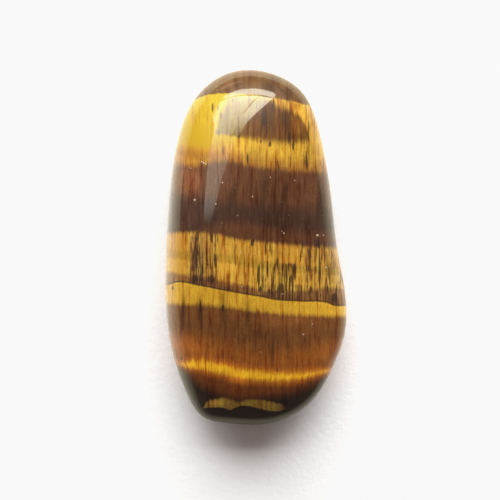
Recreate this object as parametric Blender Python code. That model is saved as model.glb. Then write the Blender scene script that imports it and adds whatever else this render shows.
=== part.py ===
"""A polished free-form pebble of banded tiger's eye.

The stone lies on its flat ground underside, long axis along Y. Above the girdle, its widest level, it
rises as one smooth dome. Below the girdle it rolls under to the flat. Sizes are in millimetres until
the vertices are placed, which is in metres.
"""

import bmesh
import bpy
import numpy as np

LENGTH = 36.0  # along Y
WIDTH = 18.4  # along X
GIRDLE_HEIGHT = 2.7  # the widest level, above the flat underside
DOME_HEIGHT = 5.4  # the crest, above the girdle
DOME_PARABOLA = 0.13  # 0 is an elliptical section, 1 a parabolic one
CREST_SHIFT = (-2.5, -0.6)  # the crest lies off the middle of the outline
FLAT_SHARE = 0.62  # the ground flat's size as a share of the girdle's

# The girdle seen from above, clockwise from the narrow end.
GIRDLE_POINTS = (
    (-0.6, 18.0), (2.9, 17.1), (5.3, 14.9), (6.7, 10.8), (7.7, 4.8), (8.5, -1.3),
    (9.2, -5.9), (9.1, -8.4), (8.0, -11.8), (6.3, -14.9), (3.7, -17.1), (0.6, -18.0),
    (-3.6, -17.8), (-5.7, -17.0), (-7.1, -14.7), (-8.4, -11.0), (-9.1, -6.7), (-9.2, -2.3),
    (-8.9, 3.7), (-8.2, 9.8), (-6.9, 13.9), (-4.6, 16.7),
)  # fmt: skip
WAVES = 24  # the girdle is an ellipse with this many waves on it
WAVE_STIFFNESS = 3e-5  # keeps the girdle from rippling between its points

SEGMENTS = 96  # round the girdle
RINGS = 48  # from crest to underside
FLANK_RINGS = 0.6  # share of the lower rings on the rolled-under flank

MM = 0.001


def wave_orders():
    """0 for the plain ellipse, then each wave's order twice, for its cosine and its sine."""
    return (np.arange(2 * WAVES + 1) + 1) // 2


def waves_at(angle):
    """The value of every wave at each angle: one column for each of wave_orders()."""
    is_sine = np.arange(2 * WAVES + 1) % 2 == 0
    phase = angle[..., None] * wave_orders() - is_sine * np.pi / 2
    phase[..., 0] = 0
    return np.cos(phase)


def girdle_waves():
    """The heights of the waves, for the least rippled curve through the girdle's points."""
    x, y = np.array(GIRDLE_POINTS).T / (np.array([[WIDTH], [LENGTH]]) / 2)
    stiffness = np.diag(WAVE_STIFFNESS * wave_orders() ** 2.0)
    rows = np.vstack([waves_at(np.arctan2(y, x)), stiffness])
    radii = np.append(np.hypot(x, y), np.zeros(len(stiffness)))
    return np.linalg.lstsq(rows, radii, rcond=None)[0]


def outline(angle, level):
    """Points round the stone at a level: 1 is the girdle, 0 the crest. Waves fade towards the crest."""
    fade = level[..., None] ** (wave_orders() / 2)
    radius = (waves_at(angle) * fade) @ girdle_waves()
    x = WIDTH / 2 * level * radius * np.cos(angle)
    y = LENGTH / 2 * level * radius * np.sin(angle)
    return np.stack([x, y], axis=-1)


def girdle_box():
    """The middle and the size of the girdle's outline."""
    angle = np.linspace(0, 2 * np.pi, 720, endpoint=False)
    points = outline(angle, np.ones_like(angle))
    low, high = points.min(axis=0), points.max(axis=0)
    return (low + high) / 2, high - low


def dome(angle, tilt):
    """The upper surface. tilt runs from 0 at the crest to 90 degrees at the girdle."""
    level = np.sin(tilt)
    rise = (1 - DOME_PARABOLA) * np.cos(tilt) + DOME_PARABOLA * np.cos(tilt) ** 2
    plan = outline(angle, level) + (1 - level**2)[:, None] * np.array(CREST_SHIFT)
    return plan, GIRDLE_HEIGHT + DOME_HEIGHT * rise


def underside(angle, share):
    """The lower surface. share runs from 0 at the girdle to 1 at the middle of the flat."""
    turn = np.minimum(share / FLANK_RINGS, 1) * np.pi / 2
    level = FLAT_SHARE + (1 - FLAT_SHARE) * np.cos(turn)
    level *= 1 - np.maximum(share - FLANK_RINGS, 0) / (1 - FLANK_RINGS)
    return outline(angle, level), GIRDLE_HEIGHT * (1 - np.sin(turn))


def stone_surface(directions):
    """Moves points of a unit sphere to the stone's surface, in millimetres."""
    angle = np.arctan2(directions[:, 1], directions[:, 0])
    tilt = np.arccos(np.clip(directions[:, 2], -1, 1))
    upper_plan, upper_z = dome(angle, np.minimum(tilt, np.pi / 2))
    share = np.clip(tilt / (np.pi / 2) - 1, 0, 1)
    lower_plan, lower_z = underside(angle, share)
    above = tilt <= np.pi / 2
    middle, size = girdle_box()
    plan = np.where(above[:, None], upper_plan, lower_plan)
    plan = (plan - middle) * np.array([WIDTH, LENGTH]) / size
    return np.column_stack([plan, np.where(above, upper_z, lower_z)])


def stone_material():
    material = bpy.data.materials.new("polished_tigers_eye")
    material.use_nodes = True
    shader = material.node_tree.nodes["Principled BSDF"]
    shader.inputs["Base Color"].default_value = (0.30, 0.145, 0.035, 1)
    shader.inputs["Roughness"].default_value = 0.3
    shader.inputs["Coat Weight"].default_value = 1
    shader.inputs["Coat Roughness"].default_value = 0.03
    return material


def build_stone(collection):
    ball = bmesh.new()
    bmesh.ops.create_uvsphere(ball, u_segments=SEGMENTS, v_segments=RINGS, radius=1)
    ball.verts.ensure_lookup_table()
    directions = np.array([v.co for v in ball.verts])
    for vertex, place in zip(ball.verts, stone_surface(directions) * MM):
        vertex.co = place
    for face in ball.faces:
        face.smooth = True
    bmesh.ops.recalc_face_normals(ball, faces=ball.faces)
    mesh = bpy.data.meshes.new("stone")
    ball.to_mesh(mesh)
    ball.free()
    mesh.materials.append(stone_material())
    stone = bpy.data.objects.new("stone", mesh)
    collection.objects.link(stone)
    return stone


for old in list(bpy.data.objects):
    bpy.data.objects.remove(old)
home = bpy.data.collections.new("tigers_eye_pebble")
bpy.context.scene.collection.children.link(home)
build_stone(home)
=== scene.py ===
"""The looks of a polished free-form pebble of banded tiger's eye, lying on white paper by a window.

Plan coordinates are millimetres on the stone seen from above: +Y towards its narrow end, +X across.
"""

import bmesh
import bpy
import numpy as np
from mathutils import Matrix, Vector
from mathutils.bvhtree import BVHTree


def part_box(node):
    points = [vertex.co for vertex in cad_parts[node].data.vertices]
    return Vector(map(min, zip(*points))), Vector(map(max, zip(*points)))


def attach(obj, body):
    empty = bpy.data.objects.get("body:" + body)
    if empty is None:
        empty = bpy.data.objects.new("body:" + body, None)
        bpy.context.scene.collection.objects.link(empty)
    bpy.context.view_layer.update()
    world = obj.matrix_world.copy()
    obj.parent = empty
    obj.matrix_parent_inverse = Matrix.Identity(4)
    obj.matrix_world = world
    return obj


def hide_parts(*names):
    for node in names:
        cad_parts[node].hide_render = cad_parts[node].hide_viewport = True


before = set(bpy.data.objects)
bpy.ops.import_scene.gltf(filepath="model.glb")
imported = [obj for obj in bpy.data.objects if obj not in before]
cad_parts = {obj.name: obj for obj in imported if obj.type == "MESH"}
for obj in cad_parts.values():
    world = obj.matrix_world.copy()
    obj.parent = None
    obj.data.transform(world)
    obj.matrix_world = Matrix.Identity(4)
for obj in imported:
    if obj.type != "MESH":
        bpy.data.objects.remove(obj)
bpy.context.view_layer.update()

MM = 0.001

# ---------------------------------------------------------------- the stone's form

LOW, HIGH = (np.array(corner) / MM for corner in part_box("stone"))
WIDTH, LENGTH, HEIGHT = HIGH - LOW
GIRDLE_HEIGHT = HEIGHT / 3
DOME_HEIGHT = HEIGHT - GIRDLE_HEIGHT
DOME_PARABOLA = 0.13  # the share of a parabola in the dome's profile, which is an ellipse otherwise
CREST_SHIFT = (-2.5, -0.6)  # from the middle of the plan to the dome's highest point
FLAT_SHARE = 0.62  # the size of the flat underside, where the girdle's is 1

# The girdle's outline, clockwise from the narrow end.
GIRDLE_POINTS = (
    (-0.6, 18.0), (2.9, 17.1), (5.3, 14.9), (6.7, 10.8), (7.7, 4.8), (8.5, -1.3), (9.2, -5.9),
    (9.1, -8.4), (8.0, -11.8), (6.3, -14.9), (3.7, -17.1), (0.6, -18.0), (-3.6, -17.8),
    (-5.7, -17.0), (-7.1, -14.7), (-8.4, -11.0), (-9.1, -6.7), (-9.2, -2.3), (-8.9, 3.7),
    (-8.2, 9.8), (-6.9, 13.9), (-4.6, 16.7),
)
WAVES = 24
WAVE_STIFFNESS = 3e-5  # how firmly the higher waves are held low
SEGMENTS = 384  # of the mesh, round the stone
RINGS = 192
FLANK_RINGS = 0.6  # the share of the underside's rings that the flank takes
BOX_SAMPLES = 720  # round the outline, to measure its box


def wave_orders():
    """0 for the plain ellipse, then each wave's order twice, for its cosine and its sine."""
    return (np.arange(2 * WAVES + 1) + 1) // 2


def waves_at(angle):
    """The value of every wave at each angle: one column for each of wave_orders()."""
    is_sine = np.arange(2 * WAVES + 1) % 2 == 0
    phase = angle[..., None] * wave_orders() - is_sine * np.pi / 2
    phase[..., 0] = 0
    return np.cos(phase)


def girdle_waves():
    """The heights of the waves, for the least rippled curve through the girdle's points."""
    x, y = np.array(GIRDLE_POINTS).T / (np.array([[WIDTH], [LENGTH]]) / 2)
    stiffness = np.diag(WAVE_STIFFNESS * wave_orders() ** 2.0)
    rows = np.vstack([waves_at(np.arctan2(y, x)), stiffness])
    radii = np.append(np.hypot(x, y), np.zeros(len(stiffness)))
    return np.linalg.lstsq(rows, radii, rcond=None)[0]


def outline(angle, level):
    """Points round the stone at a level: 1 is the girdle, 0 the crest. Waves fade towards the crest."""
    fade = level[..., None] ** (wave_orders() / 2)
    radius = (waves_at(angle) * fade) @ girdle_waves()
    x = WIDTH / 2 * level * radius * np.cos(angle)
    y = LENGTH / 2 * level * radius * np.sin(angle)
    return np.stack([x, y], axis=-1)


def girdle_box():
    """The middle and the size of the girdle's outline."""
    angle = np.linspace(0, 2 * np.pi, BOX_SAMPLES, endpoint=False)
    points = outline(angle, np.ones_like(angle))
    low, high = points.min(axis=0), points.max(axis=0)
    return (low + high) / 2, high - low


def dome(angle, tilt):
    """The upper surface. tilt runs from 0 at the crest to a right angle at the girdle."""
    level = np.sin(tilt)
    rise = (1 - DOME_PARABOLA) * np.cos(tilt) + DOME_PARABOLA * np.cos(tilt) ** 2
    plan = outline(angle, level) + (1 - level**2)[:, None] * np.array(CREST_SHIFT)
    return plan, GIRDLE_HEIGHT + DOME_HEIGHT * rise


def underside(angle, share):
    """The lower surface. share runs from 0 at the girdle to 1 at the middle of the flat."""
    turn = np.minimum(share / FLANK_RINGS, 1) * np.pi / 2
    level = FLAT_SHARE + (1 - FLAT_SHARE) * np.cos(turn)
    level *= 1 - np.maximum(share - FLANK_RINGS, 0) / (1 - FLANK_RINGS)
    return outline(angle, level), GIRDLE_HEIGHT * (1 - np.sin(turn))


def stone_surface(directions):
    """Moves points of a unit sphere to the stone's surface, in millimetres."""
    angle = np.arctan2(directions[:, 1], directions[:, 0])
    tilt = np.arccos(np.clip(directions[:, 2], -1, 1))
    upper_plan, upper_z = dome(angle, np.minimum(tilt, np.pi / 2))
    share = np.clip(tilt / (np.pi / 2) - 1, 0, 1)
    lower_plan, lower_z = underside(angle, share)
    above = tilt <= np.pi / 2
    middle, size = girdle_box()
    plan = np.where(above[:, None], upper_plan, lower_plan)
    plan = (plan - middle) * np.array([WIDTH, LENGTH]) / size
    return np.column_stack([plan, np.where(above, upper_z, lower_z)])


def link(name, mesh, material):
    """A new object of the scene, with this mesh and material."""
    obj = bpy.data.objects.new(name, mesh)
    bpy.context.scene.collection.objects.link(obj)
    mesh.materials.append(material)
    return obj


def build_stone(material):
    ball = bmesh.new()
    bmesh.ops.create_uvsphere(ball, u_segments=SEGMENTS, v_segments=RINGS, radius=1)
    directions = np.array([v.co for v in ball.verts])
    for vertex, place in zip(ball.verts, stone_surface(directions) * MM):
        vertex.co = place
    for face in ball.faces:
        face.smooth = True
    bmesh.ops.recalc_face_normals(ball, faces=ball.faces)
    mesh = bpy.data.meshes.new("tigers_eye")
    ball.to_mesh(mesh)
    ball.free()
    return link("tigers_eye", mesh, material)


# ---------------------------------------------------------------- places in the photograph

FRAME_WIDTH = 50.7  # of the picture, at the girdle's height
FRAME_PIXELS = 500
STONE_PIXEL = (255.95, 247.0)  # where the middle of the girdle's outline is in the picture
CAMERA_PLACE = (-0.6, -0.3)
CAMERA_HEIGHT = 200.0
MM_PER_PIXEL = FRAME_WIDTH / FRAME_PIXELS


def pixels(count):
    """A length of so many pixels, in millimetres."""
    return count * MM_PER_PIXEL


def at_girdle(px, py):
    """The plan point at the girdle's height that the photograph shows at a pixel."""
    return pixels(px - STONE_PIXEL[0]), pixels(STONE_PIXEL[1] - py)


def on_stone(px, py):
    """The plan point of the upper surface that the photograph shows at a pixel."""
    x, y = at_girdle(px, py)
    level = min(1, (2 * x / WIDTH) ** 2 + (2 * y / LENGTH) ** 2)
    height = GIRDLE_HEIGHT + DOME_HEIGHT * np.sqrt(1 - level)
    nearer = (CAMERA_HEIGHT - height) / (CAMERA_HEIGHT - GIRDLE_HEIGHT)
    return [c + (p - c) * nearer for p, c in zip((x, y), CAMERA_PLACE)]


# ---------------------------------------------------------------- node building

SEED_WAY = (1.0, 1.7, 0.6)  # where a seed of 1 moves the noise to


def rgb(code):
    """A linear colour from six hexadecimal sRGB digits."""
    channels = [int(code[i : i + 2], 16) / 255 for i in (0, 2, 4)]
    return [c / 12.92 if c <= 0.04045 else ((c + 0.055) / 1.055) ** 2.4 for c in channels] + [1]


class Nodes:
    """Adds nodes to one tree. Each method returns the socket that carries its result."""

    def __init__(self, tree):
        self.tree = tree

    def add(self, kind, inputs, output=0, **settings):
        """Adds one node, and links or sets its inputs by their names or numbers."""
        node = self.tree.nodes.new("ShaderNode" + kind)
        for name, value in settings.items():
            setattr(node, name, value)
        for socket, value in inputs.items():
            if isinstance(value, bpy.types.NodeSocket):
                self.tree.links.new(value, node.inputs[socket])
            else:
                node.inputs[socket].default_value = value
        return node.outputs[output]

    def math(self, operation, a, b=0.0, c=0.0):
        return self.add("Math", {0: a, 1: b, 2: c}, operation=operation)

    def vector(self, operation, a, b=(0, 0, 0), c=(0, 0, 0)):
        return self.add("VectorMath", {0: a, 1: b, 2: c}, operation=operation)

    def length(self, vector):
        return self.add("VectorMath", {0: vector}, output="Value", operation="LENGTH")

    def dot(self, a, b):
        return self.add("VectorMath", {0: a, 1: b}, output="Value", operation="DOT_PRODUCT")

    def axis(self, vector, name):
        """One coordinate of a vector: X, Y or Z."""
        return self.add("SeparateXYZ", {0: vector}, output=name)

    def position(self):
        """The place on the object, in millimetres."""
        place = self.add("TexCoord", {}, output="Object")
        return self.vector("MULTIPLY", place, (1 / MM, 1 / MM, 1 / MM))

    def step(self, value, low, high, bottom=0.0, top=1.0):
        """A smooth step from bottom at low to top at high."""
        inputs = {"Value": value, 1: low, 2: high, 3: bottom, 4: top}
        return self.add("MapRange", inputs, interpolation_type="SMOOTHSTEP")

    def between(self, share, a, b):
        """A number that runs from a to b as the share grows."""
        return self.add("Mix", {0: share, 2: a, 3: b})

    def mix(self, share, a, b, blend="MIX"):
        """A colour: a, with a share of b mixed in."""
        inputs = {0: share, 6: a, 7: b}
        return self.add("Mix", inputs, output=2, data_type="RGBA", blend_type=blend)

    def times(self, colour, red, green, blue):
        """The colour with its channels multiplied."""
        gains = self.add("CombineXYZ", {0: red, 1: green, 2: blue})
        return self.mix(1.0, colour, gains, "MULTIPLY")

    def noise(self, place, scale, detail=2.0, roughness=0.5, seed=0.0):
        """Noise of about -1 to 1. scale holds the repeats per millimetre along X, Y and Z."""
        stretched = self.vector("MULTIPLY_ADD", place, scale, [seed * part for part in SEED_WAY])
        inputs = {"Vector": stretched, "Scale": 1.0, "Detail": detail, "Roughness": roughness}
        return self.math("MULTIPLY_ADD", self.add("TexNoise", inputs), 2.0, -1.0)

    def dots(self, place, per_mm, rim, core, picked, strength):
        """Round dots scattered in cells. Each cell's random number gives its dot's share of strength."""
        cells = {"Vector": place, "Scale": per_mm}
        far = self.add("TexVoronoi", cells, output="Distance")
        pick = self.add("SeparateColor", {0: self.add("TexVoronoi", cells, output="Color")})
        return self.math("MULTIPLY", self.step(far, rim, core), self.step(pick, *picked, top=strength))

    def ellipse(self, place, middle, size, edge=1.0, inside=1.0):
        """A value inside an ellipse seen from above, falling to 0 at its rim over the share edge."""
        scale = (1 / size[0], 1 / size[1], 0)
        shift = (-middle[0] / size[0], -middle[1] / size[1], 0)
        far = self.length(self.vector("MULTIPLY_ADD", place, scale, shift))
        return self.step(far, 1.0, 1.0 - edge, top=inside)

    def box(self, place, left, right, top, bottom):
        """1 inside a box seen from above, given by its edges' pixels, falling softly to 0 at its rim."""
        across, down = (left + right) / 2, (top + bottom) / 2
        low = on_stone(left, down)[0], on_stone(across, bottom)[1]
        high = on_stone(right, down)[0], on_stone(across, top)[1]
        scale = [2 / (b - a) for a, b in zip(low, high)]
        shift = [-(a + b) / (b - a) for a, b in zip(low, high)]
        away = self.vector("ABSOLUTE", self.vector("MULTIPLY_ADD", place, (*scale, 0), (*shift, 0)))
        far = self.math("MAXIMUM", self.axis(away, "X"), self.axis(away, "Y"))
        return self.step(far, *BOX_RIM)

    def line(self, x, points):
        """The height, at x, of a smooth line through the photograph's pixels."""
        share = self.math("MULTIPLY_ADD", x, 1 / WIDTH, 0.5)
        node = self.tree.nodes.new("ShaderNodeFloatCurve")
        self.tree.links.new(share, node.inputs["Value"])
        curve = node.mapping.curves[0]
        places = [on_stone(*point) for point in points]
        shares = [(across / WIDTH + 0.5, along / LENGTH + 0.5) for across, along in places]
        curve.points[0].location = (0, shares[0][1])
        curve.points[1].location = (1, shares[-1][1])
        for place in shares:
            curve.points.new(*place)
        node.mapping.update()
        return self.math("MULTIPLY_ADD", node.outputs[0], LENGTH, -LENGTH / 2)


def set_sockets(shader, values):
    """Sets the shader's plain sockets."""
    for socket, value in values.items():
        shader.inputs[socket].default_value = value


# ---------------------------------------------------------------- the stone's colours and markings

CAP = rgb("482F16")
YELLOW_GOLD = rgb("91740D")
OCHRE = rgb("5A4414")
LENS = rgb("4C2C0A")
GOLD = rgb("A37322")
PALE_GOLD = rgb("AE7F28")
HONEY = rgb("946B1D")
DEEP_GOLD = rgb("986D1C")
AMBER = rgb("7F5318")
UMBER = rgb("4A2A16")
DARK_BROWN = rgb("352017")
RICH_GOLD = rgb("BA8C23")
DULL_BROWN = rgb("764C20")
BROWN = rgb("6A3E1A")
ORANGE_BROWN = rgb("905018")
EMBER = rgb("BE6C18")
# Gold with a painted chatoyant sheen: this line is lighter than its band's own gold, as if it caught the
# window's light
BRIGHT_GOLD_AND_SHEEN = rgb("FFBD22")
RED_BROWN = rgb("793E10")
NEAR_BLACK = rgb("2B1D12")
OLIVE_GOLD = rgb("9A7728")
GAP = rgb("291A0F")
VEIL = rgb("503230")
DUST = rgb("B5A58C")

# The bands from the narrow end down: the colour below the edge, how strongly its fibres vary, how far
# the edge blurs and how far its fibres leave it ragged, in pixels, and the pixels that the edge passes.
BANDS = (
    (YELLOW_GOLD, 0.36, 0.8, 2.0, (
        (192, 101), (205, 97), (220, 94), (230, 93.6), (245, 94), (258, 95), (270, 98), (290, 101),
        (312, 107),
    )),
    (HONEY, 1.20, 2.0, 4.0, (
        (185, 150), (245, 150), (262, 112), (269, 99.5), (280, 99), (290, 101), (312, 107),
    )),
    (OCHRE, 0.80, 8.0, 5.0, (
        (185, 152), (209, 152), (215, 134), (220, 115), (225, 105), (232, 99), (240, 97), (252, 96),
        (262, 97), (271, 102), (276, 108), (284, 113), (293, 116), (301, 123), (308, 138),
        (314, 155),
    )),
    (LENS, 1.60, 4.0, 5.0, (
        (185, 150), (229, 150), (238, 136), (245, 125), (252, 115.5), (259, 108), (265, 102.5),
        (270, 100.5), (276, 105), (284, 109), (293, 111), (301, 117), (308, 130), (314, 150),
    )),
    (YELLOW_GOLD, 0.36, 2.0, 3.0, (
        (185, 132), (213, 134), (225, 135), (240, 138), (255, 142), (275, 148), (318, 156),
    )),
    (DEEP_GOLD, 1.45, 5.0, 5.0, (
        (185, 146), (205, 147), (225, 144), (240, 139), (265, 141), (290, 143), (312, 141),
    )),
    (AMBER, 1.30, 6.0, 5.0, (
        (180, 149), (205, 151), (230, 152), (250, 155), (280, 159), (318, 160),
    )),
    (UMBER, 0.95, 4.5, 6.0, (
        (178, 164), (190, 165), (205, 164), (228, 160), (245, 164), (270, 168), (318, 171),
    )),
    (DARK_BROWN, 0.80, 8.0, 7.0, (
        (178, 194), (205, 198), (240, 204), (280, 206), (322, 207),
    )),
    (UMBER, 0.95, 6.0, 6.0, (
        (172, 240), (205, 229), (235, 222), (270, 228), (300, 231), (328, 233),
    )),
    (GOLD, 1.30, 3.0, 5.0, (
        (170, 233), (195, 233), (217, 235.5), (235, 239), (265, 243), (295, 245.5), (332, 248),
    )),
    (HONEY, 1.20, 1.2, 1.5, (
        (170, 250), (188, 251), (220, 254), (262, 260), (290, 264), (335, 267),
    )),
    (PALE_GOLD, 1.30, 2.0, 4.0, (
        (170, 258), (188, 260), (220, 262), (262, 269), (290, 272), (335, 275),
    )),
    (DULL_BROWN, 1.20, 2.5, 6.0, (
        (170, 272), (190, 275), (217, 280), (235, 283), (250, 287), (262, 290), (290, 291),
        (310, 290), (334, 288),
    )),
    (RICH_GOLD, 0.58, 0.3, 0.3, (
        (168, 284), (178, 281.5), (200, 285), (220, 289), (250, 294.5), (262, 296.5), (273, 299),
        (300, 301), (326, 302), (334, 305), (345, 305),
    )),
    (BROWN, 0.80, 3.2, 4.0, (
        (170, 303), (190, 304), (210, 305.5), (230, 307.5), (250, 310.5), (290, 314), (345, 316),
    )),
    (ORANGE_BROWN, 0.65, 9.0, 8.0, (
        (178, 333), (200, 336), (230, 344), (255, 349), (285, 350), (320, 345), (340, 338),
    )),
    (EMBER, 0.70, 4.0, 5.0, (
        (180, 359), (190, 357), (202, 356), (215, 358), (235, 363), (262, 368), (285, 370),
        (310, 368), (330, 367),
    )),
    # The bright gold line: its band's gold with a painted chatoyant sheen on it.
    (BRIGHT_GOLD_AND_SHEEN, 0.70, 3.2, 4.0, (
        (180, 364), (186, 361.5), (193, 360.5), (202, 360.5), (215, 363), (230, 367), (245, 370),
        (262, 372), (280, 374), (300, 373.5), (328, 370),
    )),
    (EMBER, 0.60, 3.0, 4.0, (
        (180, 364), (190, 366), (200, 368), (215, 371.5), (230, 375.5), (245, 378), (262, 379.5),
        (280, 380), (300, 378), (328, 371),
    )),
    (RED_BROWN, 0.70, 4.0, 6.0, (
        (182, 367), (200, 372), (215, 376), (235, 382), (262, 384), (285, 385), (305, 381),
        (325, 375),
    )),
    (NEAR_BLACK, 0.70, 8.0, 6.0, (
        (184, 369), (200, 383), (215, 391), (238, 399), (262, 396), (290, 393), (310, 385),
        (325, 378),
    )),
    (OLIVE_GOLD, 1.00, 1.6, 2.2, (
        (196, 414), (203, 407.5), (207, 401), (214, 398.5), (222, 397.5), (230, 399), (238, 402),
        (246, 400.3), (255, 399.5), (266, 401), (276, 403), (283, 405), (287, 409), (300, 414),
    )),
    (NEAR_BLACK, 0.40, 0.6, 0.6, (
        (196, 406), (203, 407), (208, 406.3), (217, 406), (224, 407.2), (231, 409.3), (236, 407),
        (243, 405.5), (251, 406.3), (259, 408.3), (267, 410.3), (275, 411), (281, 410.5),
        (287, 407.5), (300, 402),
    )),
)
CAP_VARIATION = 0.6
RAGGED_EDGES = {"scale": (3.4, 0.16, 3.4), "detail": 4.0, "roughness": 0.7, "seed": 3.1}

# Soft patches that are lighter or darker than their band: middle, half width and half height, in
# pixels, and the gain.
PATCHES = (
    (264, 116, 9, 22, 0.55), (282, 118, 7, 20, 0.65), (298, 122, 14, 18, 1.5),
    (288, 130, 18, 7, 1.35), (272, 104, 5, 12, 0.7), (257, 154, 20, 16, 0.8),
    (311, 150, 9, 13, 0.72), (187, 184, 20, 34, 2.0), (198, 180, 12, 16, 1.3),
    (192, 216, 14, 14, 1.45), (184, 227, 14, 9, 1.5), (232, 197, 9, 16, 0.75),
    (256, 200, 9, 20, 0.8), (273, 196, 14, 32, 0.8), (283, 232, 7, 12, 0.75),
    (262, 180, 7, 16, 0.75), (322, 200, 7, 34, 0.7), (310, 214, 16, 10, 1.25),
    (225, 243, 14, 7, 0.95), (219, 147, 9, 12, 0.8), (320, 250, 20, 16, 0.8),
    (228, 268, 16, 16, 1.25), (334, 266, 12, 34, 0.65), (275, 292, 9, 5, 0.7),
    (235, 284, 12, 8, 1.15), (279, 252, 18, 8, 0.82), (276, 278, 20, 14, 0.88),
    (322, 272, 22, 30, 0.9), (190, 326, 14, 12, 0.8), (236, 326, 16, 10, 0.8),
    (262, 334, 36, 9, 0.75), (290, 320, 44, 10, 1.3), (190, 346, 22, 12, 1.35),
    (206, 353, 26, 10, 1.25), (228, 364, 26, 9, 1.25), (302, 390, 26, 14, 0.8),
    (202, 406, 6, 6, 0.6), (217, 402, 14, 7, 2.0), (283, 408, 10, 9, 0.5), (238, 380, 16, 16, 1.45),
    (262, 352, 24, 10, 0.8), (312, 350, 12, 10, 0.8), (202, 398, 12, 10, 1.5),
    (268, 87, 12, 9, 0.6), (276, 80, 16, 7, 0.8), (286, 92, 10, 8, 0.7), (238, 86, 5, 6, 0.65),
    (228, 85, 8, 7, 1.4), (320, 354, 14, 10, 1.15),
)

# Places where the fibres are smooth: middle, half width and half height, in pixels, and how smooth.
CALM = (
    (192, 142, 22, 26, 0.8), (179, 256, 12, 30, 0.7), (215, 148, 16, 14, 0.5),
)
CALM_EDGE = 0.5  # the share of a calm place over which it fades

# Clusters of dark fibres: left, right, top and bottom pixel, how densely they stand, and how strongly
# they veil what is between them.
CLUSTERS = (
    (190, 218, 231, 294, 0.42, 0.30), (190, 204, 234, 294, 0.56, 0.75),
    (204, 217, 270, 294, 0.40, 0.50), (257, 297, 262, 308, 0.52, 0.12),
    (258, 302, 284, 308, 0.58, 0.35), (280, 294, 264, 290, 0.44, 0.20),
    (300, 336, 238, 286, 0.44, 0.15), (322, 346, 272, 308, 0.52, 0.30),
    (297, 336, 284, 308, 0.50, 0.25), (256, 292, 96, 142, 0.34, 0.15),
    (218, 256, 286, 300, 0.36, 0.20),
)
BOX_RIM = (1.10, 0.85)  # where a box has faded out, and where it is full; its edge is at 1
VEILED_FIBRES = (0.6, -0.5)  # where the veil on the short fibres is least, and where it is full
LEAST_VEIL = 0.3

# Dark gaps between fibres: the column, the top row, the bottom row and the half width, in pixels, and
# the strength.
GAPS = (
    (212.5, 98, 118, 1.1, 0.9), (225, 94, 108, 0.8, 0.7), (232.5, 96, 104, 1.2, 0.8),
    (218, 103, 114, 0.7, 0.7), (221, 111, 120, 0.8, 0.7), (219, 127, 140, 1.0, 0.7),
    (218, 124, 142, 0.9, 0.4), (223, 144, 160, 1.0, 0.7), (263, 108, 130, 2.4, 0.8),
    (261, 138, 145, 1.0, 0.8), (270, 138, 150, 1.8, 0.9), (273, 94, 120, 2.0, 0.8),
    (288, 88, 112, 1.0, 0.9), (285, 108, 132, 3.2, 0.6), (289, 126, 147, 1.4, 0.9),
    (293, 138, 154, 0.9, 0.7), (306.5, 143, 176, 1.3, 1.0), (247.5, 148, 168, 1.1, 0.9),
    (243, 152, 162, 0.9, 0.5), (280, 138, 150, 0.8, 0.5), (302, 158, 168, 0.8, 0.5),
    (193, 234, 288, 1.6, 0.7), (197, 230, 288, 1.8, 0.9), (202, 246, 288, 2.2, 0.7),
    (206.5, 230, 276, 1.0, 0.9), (212, 228, 248, 1.7, 0.8), (215.5, 246, 276, 1.4, 1.0),
    (217.5, 231, 248, 0.8, 0.8), (195, 268, 290, 5.0, 0.8), (211, 270, 288, 6.0, 0.7),
    (235, 236, 272, 0.7, 0.8), (243, 244, 266, 0.6, 0.5), (252.5, 236, 249, 1.8, 0.9),
    (258.5, 254, 300, 1.7, 1.0), (260, 282, 296, 3.0, 0.8), (265.5, 238, 260, 0.8, 1.0),
    (270, 240, 256, 0.8, 0.8), (277.5, 252, 272, 1.3, 1.0), (281, 278, 298, 3.2, 0.9),
    (287, 262, 296, 1.4, 0.7), (291, 264, 300, 3.0, 0.7), (295, 260, 284, 0.8, 1.0),
    (301, 243, 268, 0.7, 0.8), (309.5, 236, 284, 1.2, 1.0), (312, 282, 298, 1.8, 0.8),
    (318.5, 234, 252, 2.2, 1.0), (320, 240, 302, 1.6, 1.0), (321, 290, 302, 2.4, 0.7),
    (328, 282, 294, 1.0, 0.8), (335, 288, 307, 2.6, 1.1), (340, 272, 302, 0.9, 0.7),
    (200.5, 298, 314, 1.2, 1.0), (223, 300, 316, 1.4, 0.6), (173, 284, 292, 1.0, 1.0),
    (277.5, 365, 374, 0.7, 0.8), (182, 355, 360, 0.9, 1.0),
)
GAP_STRETCH = 1.1  # lengthens the listed gaps, since their ends fade
GAP_STRENGTH = 1.3

# Soft dark streaks: the pixels of their ends, the half width in pixels, and the strength.
STREAKS = (
    ((268, 164), (259, 224), 2.8, 0.5), ((290, 168), (279, 222), 2.6, 0.7),
    ((316, 164), (330, 250), 1.9, 0.75), ((238, 174), (228, 222), 3.2, 0.5),
    ((250, 168), (245, 204), 1.6, 0.35), ((184, 168), (181, 228), 0.8, 0.5),
    ((204, 166), (203, 232), 0.8, 0.5), ((272, 82), (292, 98), 1.6, 0.5),
    ((266, 80), (278, 97), 2.2, 0.5), ((264, 102), (264, 132), 3.0, 0.55),
    ((272, 94), (271, 142), 2.2, 0.6), ((287, 98), (288, 142), 2.6, 0.6),
    ((200, 286), (201, 334), 2.2, 0.65), ((223, 278), (224, 340), 2.8, 0.42),
    ((247, 290), (249, 338), 2.6, 0.45), ((185, 282), (182, 340), 2.2, 0.55),
    ((273, 330), (272, 374), 1.8, 0.5), ((288, 336), (290, 366), 3.0, 0.3),
)
SOFT_RIM = 1.8  # widens the listed gaps and streaks, since their rims fade

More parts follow.
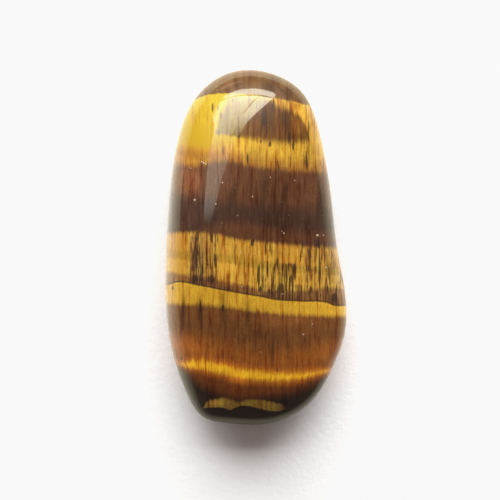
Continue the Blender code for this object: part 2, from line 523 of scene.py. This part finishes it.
# Pale dust on the polish: the pixel, and the radius in pixels.
SPECKS = (
    (202, 162, 0.9), (204, 163, 1.1), (206, 164, 0.8), (195, 200, 1.3), (303.5, 334.5, 1.2),
    (318, 235, 1.4), (324, 235, 0.8), (326.5, 267.5, 1.1), (284, 233, 0.9), (282, 231, 0.6),
    (222.5, 182.5, 0.9), (252.5, 196.5, 0.9), (216, 204, 0.9), (240.5, 252, 0.8),
    (237.5, 215.5, 0.7), (242, 286.5, 0.8), (283, 294, 0.8), (312.5, 324, 0.9), (261, 352, 0.8),
    (270.5, 177, 0.7), (295, 180, 0.7), (191, 168.5, 0.7),
)
SPOT_EDGE = 0.8  # the share of a speck, and of a streak, over which it fades

# Dots scattered all over: their cells per millimetre, how far out their rim and their core are, in
# cells, the random numbers at which a dot is nothing and full, and how strong a full one is.
FINE_DUST = {"per_mm": 1.5, "rim": 0.10, "core": 0.03, "picked": (0.62, 1.0), "strength": 0.5}
PITS = {"per_mm": 3.0, "rim": 0.24, "core": 0.10, "picked": (0.40, 0.50), "strength": 0.6}
PITTED_VARIATION = (0.62, 0.75)  # how strongly fibres vary where pits start, and where they show fully

# The crack runs along the upper edge of the rich gold.
CRACK = next(edge for below, *_, edge in BANDS if below is RICH_GOLD)
CRACK_RIM, CRACK_CORE = 1.3, 0.3  # half widths, in pixels
CRACK_STRENGTH = 0.8

# Fibres, from noise stretched along the stone.
LONG_FIBRES = {"scale": (5.6, 0.25, 2.0), "roughness": 0.6, "seed": 1.3}
SHORT_FIBRES = {"scale": (6.5, 0.80, 2.0), "roughness": 0.6, "seed": 5.9}
CORDS = {"scale": (2.9, 0.20, 1.5), "detail": 1.0, "seed": 3.7}
BUNDLES = {"scale": (1.3, 0.14, 1.0), "detail": 1.0, "seed": 7.7}
SHORT_SHARE, CORD_SHARE, BUNDLE_SHARE = 0.8, 0.9, 0.2
FIBRE_SLOPE, FIBRE_LIFT = 0.48, 0.1
DIP_START, DIP_SLOPE = -0.1, 1.4  # fibres below the start are darker still

# Blotches and grit beside the fibres. They grow over one range of the fibres' variation, and shrink
# over the next.
MOTTLE = {"scale": (2.2, 1.2, 2.0), "detail": 4.0, "roughness": 0.7, "seed": 4.4}
GRIT = {"scale": (9.0, 6.0, 4.0), "detail": 1.0, "seed": 6.2}
GRIT_SHARE = 0.7
MOTTLE_GROWS = (0.1, 0.7)
MOTTLE_SHRINKS = (0.9, 1.3)
LEAST_MOTTLE = 0.55

# How strongly fibres and mottle change red, green and blue, so that dark fibres turn orange-brown.
CHANNEL_POWERS = ((0.52, 0.42), (1.00, 0.52), (1.45, 0.46))

# Single dark fibres where the fibres vary much.
STRAY_FIBRES = {"scale": (4.5, 0.16, 2.0), "seed": 9.1}
STRAY_RANGE = (0.25, 0.45)
STRAY_VARIATION = (0.8, 1.2)
STRAY_STRENGTH = 0.8

# How far the fibres break up what is dark, and what is left of it.
LONG_BREAKS, SHORT_BREAKS = 1.0, 0.5
DARK_RANGE = (0.38, 0.82)
DARK_STRENGTH = 0.85

POLISHED_STONE = {
    "Roughness": 0.36, "Metallic": 0.10, "IOR": 1.45, "Anisotropic": 0.6,
    "Coat Weight": 1.0, "Coat Roughness": 0.02, "Coat IOR": 1.54,
}


# ---------------------------------------------------------------- the stone's material


def banded_colour(nodes, level_place, x, y):
    """The bands' colour, and how strongly the fibres vary in them."""
    ragged = nodes.noise(level_place, **RAGGED_EDGES)
    colour, variation = CAP, CAP_VARIATION
    for below, variation_below, blur, rag, edge in BANDS:
        height = nodes.math("MULTIPLY_ADD", ragged, pixels(rag), nodes.line(x, edge))
        depth = nodes.math("SUBTRACT", height, y)
        share = nodes.step(depth, -pixels(blur), pixels(blur))
        colour = nodes.mix(share, colour, below)
        variation = nodes.between(share, variation, variation_below)
    return colour, variation


def calmed(nodes, place, variation):
    """The variation of the fibres, less in the calm places."""
    for px, py, half_width, half_height, calm in CALM:
        size = pixels(half_width), pixels(half_height)
        less = nodes.ellipse(place, on_stone(px, py), size, edge=CALM_EDGE, inside=calm)
        variation = nodes.math("MULTIPLY", variation, nodes.math("SUBTRACT", 1.0, less))
    return variation


def patch_gain(nodes, place):
    """The patches' gains, multiplied."""
    gain = 1.0
    for px, py, half_width, half_height, value in PATCHES:
        size = pixels(half_width), pixels(half_height)
        more = nodes.ellipse(place, on_stone(px, py), size, inside=value - 1)
        gain = nodes.math("MULTIPLY", gain, nodes.math("ADD", more, 1.0))
    return gain


def along_fibres(nodes, place):
    """The place with the dome's fall towards its ends taken out, so that fibres stay whole across it."""
    y = nodes.axis(place, "Y")
    square = nodes.math("MULTIPLY", y, y)
    level = nodes.math("MAXIMUM", nodes.math("MULTIPLY_ADD", square, -4 / LENGTH**2, 1.0), 0.0)
    fall = nodes.math("MULTIPLY", nodes.math("SQRT", level), -DOME_HEIGHT)
    return nodes.vector("ADD", place, nodes.add("CombineXYZ", {2: fall}))


def fibre_lightness(nodes, level_place, long_fibres, short_fibres):
    """How light the fibres are: a little above 0 in light ones and far below it in dark ones."""
    cords = nodes.noise(level_place, **CORDS)
    bundles = nodes.noise(level_place, **BUNDLES)
    fibres = nodes.math("ADD", long_fibres, nodes.math("MULTIPLY", short_fibres, SHORT_SHARE))
    fibres = nodes.math("MULTIPLY_ADD", cords, CORD_SHARE, fibres)
    fibres = nodes.math("MULTIPLY_ADD", bundles, BUNDLE_SHARE, fibres)
    dips = nodes.math("MINIMUM", nodes.math("SUBTRACT", fibres, DIP_START), 0.0)
    even = nodes.math("MULTIPLY_ADD", fibres, FIBRE_SLOPE, FIBRE_LIFT)
    return nodes.math("MULTIPLY_ADD", dips, DIP_SLOPE, even)


def mottle_lightness(nodes, place, level_place, variation):
    """How light the mottle is, about 0."""
    grit = nodes.noise(place, **GRIT)
    mottle = nodes.math("MULTIPLY_ADD", grit, GRIT_SHARE, nodes.noise(level_place, **MOTTLE))
    mottle = nodes.math("MULTIPLY", mottle, nodes.step(variation, *MOTTLE_GROWS))
    return nodes.math("MULTIPLY", mottle, nodes.step(variation, *MOTTLE_SHRINKS, 1.0, LEAST_MOTTLE))


def grained(nodes, colour, fibres, mottle):
    """The colour with the fibres and the mottle in it."""
    gains = []
    for fibre_power, mottle_power in CHANNEL_POWERS:
        power = nodes.math("MULTIPLY", mottle, mottle_power)
        gains.append(nodes.math("EXPONENT", nodes.math("MULTIPLY_ADD", fibres, fibre_power, power)))
    return nodes.times(colour, *gains)


def cluster_shares(nodes, place, above_crack):
    """How dense the clusters of dark fibres are, above the crack, and how strongly they veil."""
    density, veil = 0.0, 0.0
    for left, right, top, bottom, most_dense, most_veiled in CLUSTERS:
        share = nodes.box(place, left, right, top, bottom)
        density = nodes.math("MAXIMUM", density, nodes.math("MULTIPLY", share, most_dense))
        veil = nodes.math("MAXIMUM", veil, nodes.math("MULTIPLY", share, most_veiled))
    above = nodes.step(above_crack, 0.0, pixels(1))
    return nodes.math("MULTIPLY", density, above), nodes.math("MULTIPLY", veil, above)


def gap_share(nodes, place):
    """How dark the listed gaps between fibres are."""
    share = 0.0
    for px, top, bottom, half_width, strength in GAPS:
        middle = on_stone(px, (top + bottom) / 2)
        size = pixels(half_width * SOFT_RIM), pixels((bottom - top) / 2 * GAP_STRETCH)
        gap = nodes.ellipse(place, middle, size, inside=GAP_STRENGTH * strength)
        share = nodes.math("MAXIMUM", share, gap)
    return share


def stray_share(nodes, level_place, variation):
    """How dark the stray fibres are."""
    stray = nodes.step(nodes.noise(level_place, **STRAY_FIBRES), *STRAY_RANGE)
    return nodes.math("MULTIPLY", stray, nodes.step(variation, *STRAY_VARIATION, top=STRAY_STRENGTH))


def broken_up(nodes, dark, long_fibres, short_fibres):
    """What the fibres leave of a dark share."""
    dark = nodes.math("MULTIPLY_ADD", long_fibres, -LONG_BREAKS, dark)
    dark = nodes.math("MULTIPLY_ADD", short_fibres, -SHORT_BREAKS, dark)
    return nodes.step(dark, *DARK_RANGE, top=DARK_STRENGTH)


def streak_share(nodes, place):
    """How dark the soft streaks are."""
    share = 0.0
    y = nodes.axis(place, "Y")
    for upper, lower, half_width, strength in STREAKS:
        (x0, y0), (x1, y1) = on_stone(*upper), on_stone(*lower)
        lean = (x0 - x1) / (y0 - y1)
        upright = nodes.add("CombineXYZ", {0: nodes.dot(place, (1, -lean, 0)), 1: y})
        middle = (x0 - lean * y0, (y0 + y1) / 2)
        size = pixels(half_width * SOFT_RIM), abs(y0 - y1) / 2
        streak = nodes.ellipse(upright, middle, size, edge=SPOT_EDGE, inside=strength)
        share = nodes.math("MAXIMUM", share, streak)
    return share


def crack_share(nodes, above_crack):
    """How dark the hairline crack is."""
    far = nodes.math("ABSOLUTE", above_crack)
    return nodes.step(far, pixels(CRACK_RIM), pixels(CRACK_CORE), top=CRACK_STRENGTH)


def pit_share(nodes, place, variation):
    """How dark the small pits are."""
    return nodes.math("MULTIPLY", nodes.dots(place, **PITS), nodes.step(variation, *PITTED_VARIATION))


def dust_share(nodes, place):
    """How pale the dust is: the listed specks, and finer ones all over."""
    share = 0.0
    for px, py, radius in SPECKS:
        speck = nodes.ellipse(place, on_stone(px, py), [pixels(radius)] * 2, edge=SPOT_EDGE)
        share = nodes.math("MAXIMUM", share, speck)
    return nodes.math("MAXIMUM", share, nodes.dots(place, **FINE_DUST))


def stone_material():
    material = bpy.data.materials.new("polished_tigers_eye")
    material.use_nodes = True
    tree = material.node_tree
    nodes = Nodes(tree)
    place = nodes.position()
    level_place = along_fibres(nodes, place)
    x, y = nodes.axis(place, "X"), nodes.axis(place, "Y")
    above_crack = nodes.math("SUBTRACT", y, nodes.line(x, CRACK))
    long_fibres = nodes.noise(level_place, **LONG_FIBRES)
    short_fibres = nodes.noise(level_place, **SHORT_FIBRES)

    colour, variation = banded_colour(nodes, level_place, x, y)
    variation = calmed(nodes, place, variation)
    fibres = fibre_lightness(nodes, level_place, long_fibres, short_fibres)
    mottle = mottle_lightness(nodes, place, level_place, variation)
    colour = grained(nodes, colour, nodes.math("MULTIPLY", fibres, variation), mottle)
    gain = patch_gain(nodes, place)
    colour = nodes.times(colour, gain, gain, gain)

    density, veil = cluster_shares(nodes, place, above_crack)
    veil = nodes.math("MULTIPLY", veil, nodes.step(short_fibres, *VEILED_FIBRES, bottom=LEAST_VEIL))
    colour = nodes.mix(veil, colour, VEIL)
    dark = nodes.math("MAXIMUM", density, stray_share(nodes, level_place, variation))
    dark = nodes.math("MAXIMUM", dark, gap_share(nodes, place))
    colour = nodes.mix(broken_up(nodes, dark, long_fibres, short_fibres), colour, GAP)
    colour = nodes.mix(streak_share(nodes, place), colour, GAP)
    colour = nodes.mix(crack_share(nodes, above_crack), colour, GAP)
    colour = nodes.mix(pit_share(nodes, place, variation), colour, GAP)
    colour = nodes.mix(dust_share(nodes, place), colour, DUST)

    shader = tree.nodes["Principled BSDF"]
    set_sockets(shader, POLISHED_STONE)
    tree.links.new(colour, shader.inputs["Base Color"])
    tree.links.new(nodes.add("CombineXYZ", {0: 1.0}), shader.inputs["Tangent"])
    return material


stone = build_stone(stone_material())
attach(stone, "root")
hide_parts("stone")

# ---------------------------------------------------------------- camera

SENSOR = 36.0
NEAREST = 1.0  # what is nearer to the camera isn't drawn

camera = bpy.data.objects.new("camera", bpy.data.cameras.new("camera"))
bpy.context.scene.collection.objects.link(camera)
camera.location = Vector((*CAMERA_PLACE, CAMERA_HEIGHT)) * MM
camera.data.sensor_width = SENSOR
camera.data.lens = SENSOR * (CAMERA_HEIGHT - GIRDLE_HEIGHT) / FRAME_WIDTH
camera.data.clip_start = NEAREST * MM
bpy.context.scene.camera = camera

# ---------------------------------------------------------------- paper

PAPER_SIZE = 2.4  # metres
PAPER_SQUARES = 8  # of the mesh, along each side
PAPER = rgb("F1F1F0")
PAPER_GRAIN = {"scale": (1.5, 1.5, 1.5), "detail": 4.0, "roughness": 0.6}
PAPER_RELIEF = 0.05
PAPER_BUMP = 0.3
PLAIN_PAPER = {"Roughness": 0.9, "Specular IOR Level": 0.2}

# What the stone's polish shows of the paper, whose colour there holds painted light and shade: its level
# and tint near the stone and far from it, the distance at which it starts to change and how slowly it
# does, and the side on which it is painted as lit.
MIRROR_NEAR, MIRROR_FADE = 12.0, 16.0
MIRROR_NEAR_LEVEL, MIRROR_FAR_LEVEL, MIRROR_LEAST_LEVEL = 0.97, 0.44, 0.02
MIRROR_LIT_SIDE = (-0.13, 0.48)
MIRROR_NEAR_TINT = rgb("FFFDEC")
MIRROR_FAR_TINT = rgb("FFF9D2")


def mirrored_paper(nodes, place):
    """The paper's colour in the polish, with painted light and shade: warmer, and dimmer away from the
    stone and the window.
    """
    away = nodes.math("SUBTRACT", MIRROR_NEAR, nodes.length(place))
    fading = nodes.math("MINIMUM", nodes.math("DIVIDE", away, MIRROR_FADE), 0.0)
    nearness = nodes.math("EXPONENT", fading)
    side = nodes.dot(nodes.vector("NORMALIZE", place), (*MIRROR_LIT_SIDE, 0))
    level = nodes.math("MAXIMUM", nodes.math("ADD", side, MIRROR_FAR_LEVEL), MIRROR_LEAST_LEVEL)
    level = nodes.between(nearness, level, MIRROR_NEAR_LEVEL)
    return nodes.times(nodes.mix(nearness, MIRROR_FAR_TINT, MIRROR_NEAR_TINT), level, level, level)


def paper_material():
    material = bpy.data.materials.new("paper")
    material.use_nodes = True
    tree = material.node_tree
    nodes = Nodes(tree)
    place = nodes.position()
    in_polish = nodes.add("LightPath", {}, output="Is Glossy Ray")
    colour = nodes.mix(in_polish, PAPER, mirrored_paper(nodes, place))
    grain = nodes.noise(place, **PAPER_GRAIN)
    bump = nodes.add("Bump", {"Strength": PAPER_BUMP, "Distance": PAPER_RELIEF * MM, "Height": grain})
    shader = tree.nodes["Principled BSDF"]
    set_sockets(shader, PLAIN_PAPER)
    tree.links.new(colour, shader.inputs["Base Color"])
    tree.links.new(bump, shader.inputs["Normal"])
    return material


def build_paper():
    sheet = bmesh.new()
    squares = {"x_segments": PAPER_SQUARES, "y_segments": PAPER_SQUARES}
    bmesh.ops.create_grid(sheet, size=PAPER_SIZE / 2, **squares)
    mesh = bpy.data.meshes.new("paper")
    sheet.to_mesh(mesh)
    sheet.free()
    paper = link("paper", mesh, paper_material())


build_paper()

# ---------------------------------------------------------------- daylight

# Bands of light beyond the narrow end: the lowest and the highest angle and the half width, in
# degrees, and the radiance.
LOW_DAYLIGHT = (0.0, 25.3, 45.8, 16.8)
HIGH_DAYLIGHT = (25.3, 52.6, 32.7, 4.9)
DAYLIGHT_DISTANCE = 1.5  # metres
WATTS_PER_RADIANCE = 4  # of one square metre of an area light


def build_daylight(name, lowest, highest, half_width, radiance):
    """One soft band of window light. It lights, and isn't mirrored."""
    middle, reach = np.radians((lowest + highest) / 2), np.radians((highest - lowest) / 2)
    light = bpy.data.lights.new(name, "AREA")
    light.shape = "RECTANGLE"
    light.size = 2 * DAYLIGHT_DISTANCE * np.tan(np.radians(half_width))
    light.size_y = 2 * DAYLIGHT_DISTANCE * np.tan(reach)
    light.energy = WATTS_PER_RADIANCE * light.size * light.size_y * radiance
    lamp = bpy.data.objects.new(name, light)
    bpy.context.scene.collection.objects.link(lamp)
    way = Vector((0, np.cos(middle), np.sin(middle)))
    lamp.location = way * DAYLIGHT_DISTANCE
    lamp.rotation_euler = way.to_track_quat("Z", "Y").to_euler()
    lamp.visible_camera = False
    lamp.visible_glossy = False


build_daylight("low_daylight", *LOW_DAYLIGHT)
build_daylight("high_daylight", *HIGH_DAYLIGHT)

# ---------------------------------------------------------------- the window in the polish

WINDOW_DISTANCE = 0.5  # metres
WINDOW_STRENGTH = 9.0
WINDOW_TINT = rgb("FFFEEC")
TINY = 1e-9  # keeps a weight finite where a ray meets a corner

# The window's panes, as rows of two corners: the pixel where the stone mirrors the corner, and its glow.
UPPER_PANE = (
    ((223.5, 96, 0.15), (222, 99, 0.15)), ((228.5, 93.5, 0.8), (227.5, 98, 0.8)),
    ((234, 91.3, 1.0), (234, 96.2, 1.0)), ((240, 89.6, 1.0), (241, 94.9, 1.0)),
    ((250, 88.5, 1.0), (250, 94.2, 1.0)), ((260, 89, 1.0), (260, 94.7, 1.0)),
    ((267, 90.6, 1.0), (266.5, 96, 1.0)), ((272, 92.3, 1.0), (270.5, 97.1, 1.0)),
    ((275.7, 93.8, 1.0), (273.5, 97.6, 1.0)),
)
MAIN_PANE = (
    ((217, 104.5, 0.0), (212, 117, 0.05)), ((220.5, 102, 0.5), (215, 124, 0.95)),
    ((224.5, 99.8, 0.8), (213.5, 135, 0.65)), ((229, 98, 0.95), (217, 136, 0.60)),
    ((235, 96.8, 1.15), (224, 136, 0.48)), ((242, 95.9, 1.25), (232, 135, 0.32)),
    ((250, 95.7, 1.2), (235.5, 129, 0.34)), ((258, 96.3, 1.15), (237.5, 121, 0.68)),
)
SIDE_PANE = (
    ((258, 96.4, 1.1), (273.5, 98.3, 1.1)), ((254.7, 100, 1.05), (270, 100.5, 1.05)),
    ((251.2, 104.5, 1.0), (265.3, 105, 1.0)), ((247.7, 109, 1.0), (260, 109.8, 1.0)),
    ((244.3, 113.2, 0.9), (255, 114.5, 0.9)), ((241.3, 116.8, 0.75), (251.5, 118, 0.75)),
    ((238.4, 121, 0.5), (247.5, 122, 0.5)), ((237, 126, 0.3), (243.7, 127, 0.3)),
    ((235.5, 131, 0.18), (240.8, 131.5, 0.18)), ((234.5, 135.5, 0.1), (238.8, 135.8, 0.1)),
)
TAIL_PANE = (
    ((213, 135.6, 0.46), (237, 136.6, 0.15)), ((211.5, 143, 0.34), (234, 143, 0.15)),
    ((210, 150, 0.27), (231.5, 150, 0.16)), ((208.5, 160, 0.25), (228, 160, 0.18)),
    ((207, 172, 0.26), (224, 172, 0.20)), ((206, 185, 0.25), (220, 185, 0.20)),
    ((205, 200, 0.25), (216.5, 200, 0.20)), ((204, 212, 0.16), (213.5, 212, 0.14)),
    ((203.5, 224, 0.0), (211, 224, 0.0)),
)
FAINT_PANE = (
    ((214, 93, 0.05), (214.5, 94, 0.05)), ((221, 88.5, 0.14), (222, 90, 0.14)),
    ((231, 83.5, 0.14), (231.5, 85, 0.14)), ((243, 80.5, 0.09), (243.5, 81.7, 0.09)),
)
WINDOW = {
    "upper_pane": UPPER_PANE, "main_pane": MAIN_PANE, "side_pane": SIDE_PANE,
    "tail_pane": TAIL_PANE, "faint_pane": FAINT_PANE,
}


def glow_material(name, colour, strength):
    """Light whose strength follows the mesh's own glow attribute."""
    material = bpy.data.materials.new(name)
    material.use_nodes = True
    tree = material.node_tree
    tree.nodes.clear()
    nodes = Nodes(tree)
    glow = nodes.add("Attribute", {}, output="Fac", attribute_name="glow")
    light = nodes.add("Emission", {0: colour, 1: nodes.math("MULTIPLY", glow, strength)})
    out = tree.nodes.new("ShaderNodeOutputMaterial")
    tree.links.new(light, out.inputs["Surface"])
    return material


class Mirror:
    """Finds where the polished stone reflects to, as seen by the camera."""

    def __init__(self, stone):
        mesh = stone.data
        self.normals = [v.normal.copy() for v in mesh.vertices]
        self.faces = [tuple(p.vertices) for p in mesh.polygons]
        self.points = [v.co.copy() for v in mesh.vertices]
        self.tree = BVHTree.FromPolygons(self.points, self.faces)

    def reach(self, px, py, distance):
        """The point at this distance that the stone shows at a pixel of the photograph."""
        eye = camera.location
        aim = (Vector((*at_girdle(px, py), GIRDLE_HEIGHT)) * MM - eye).normalized()
        hit, _, face, _ = self.tree.ray_cast(eye, aim)
        corners = self.faces[face]
        weights = [1 / ((self.points[c] - hit).length + TINY) for c in corners]
        normal = sum((self.normals[c] * w for c, w in zip(corners, weights)), Vector())
        normal.normalize()
        return hit + aim.reflect(normal) * distance


def build_pane(name, rows, material, mirror):
    """A ladder of quads between rows of two corners, which only the polish shows."""
    pane = bmesh.new()
    glow = pane.verts.layers.float.new("glow")
    sides = []
    for row in rows:
        side = []
        for px, py, level in row:
            corner = pane.verts.new(mirror.reach(px, py, WINDOW_DISTANCE))
            corner[glow] = level
            side.append(corner)
        sides.append(side)
    for upper, lower in zip(sides, sides[1:]):
        pane.faces.new((upper[0], upper[1], lower[1], lower[0]))
    mesh = bpy.data.meshes.new(name)
    pane.to_mesh(mesh)
    pane.free()
    obj = link(name, mesh, material)
    obj.visible_camera = False
    obj.visible_diffuse = False
    obj.visible_shadow = False


mirror = Mirror(stone)
window_glow = glow_material("window_glow", WINDOW_TINT, WINDOW_STRENGTH)
for name, rows in WINDOW.items():
    build_pane(name, rows, window_glow, mirror)

# ---------------------------------------------------------------- the room, and the picture's response

AMBIENT = 0.21  # the room's light on what isn't polished
AMBIENT_TINT = rgb("FFE8E0")
ROOM_MIRRORED = 0.10  # the room's light in the polish
PALE = rgb("FAFAF9")  # what the camera sees beyond the paper

world = bpy.data.worlds.new("room")
bpy.context.scene.world = world
world.use_nodes = True
sky = world.node_tree.nodes["Background"]
room = Nodes(world.node_tree)
seen = room.add("LightPath", {}, output="Is Camera Ray")
diffuse = room.add("LightPath", {}, output="Is Diffuse Ray")
level = room.math("MULTIPLY_ADD", diffuse, AMBIENT - ROOM_MIRRORED, ROOM_MIRRORED)
level = room.math("MAXIMUM", level, seen)
world.node_tree.links.new(level, sky.inputs["Strength"])
world.node_tree.links.new(room.mix(seen, AMBIENT_TINT, PALE), sky.inputs["Color"])

# The light that the picture shows for a light: the same, but a little less where it is bright.
BRIGHT_RESPONSES = ((0.6, 0.6), (0.8, 0.79))
WHITE_RESPONSE = (1.0, 0.947)
COMBINED = 3  # the curve for all channels

view = bpy.context.scene.view_settings
view.view_transform = "Standard"
view.use_curve_mapping = True
view.curve_mapping.extend = "HORIZONTAL"
response = view.curve_mapping.curves[COMBINED]
response.points[1].location = WHITE_RESPONSE
for light_in, light_out in BRIGHT_RESPONSES:
    response.points.new(light_in, light_out)
view.curve_mapping.update()
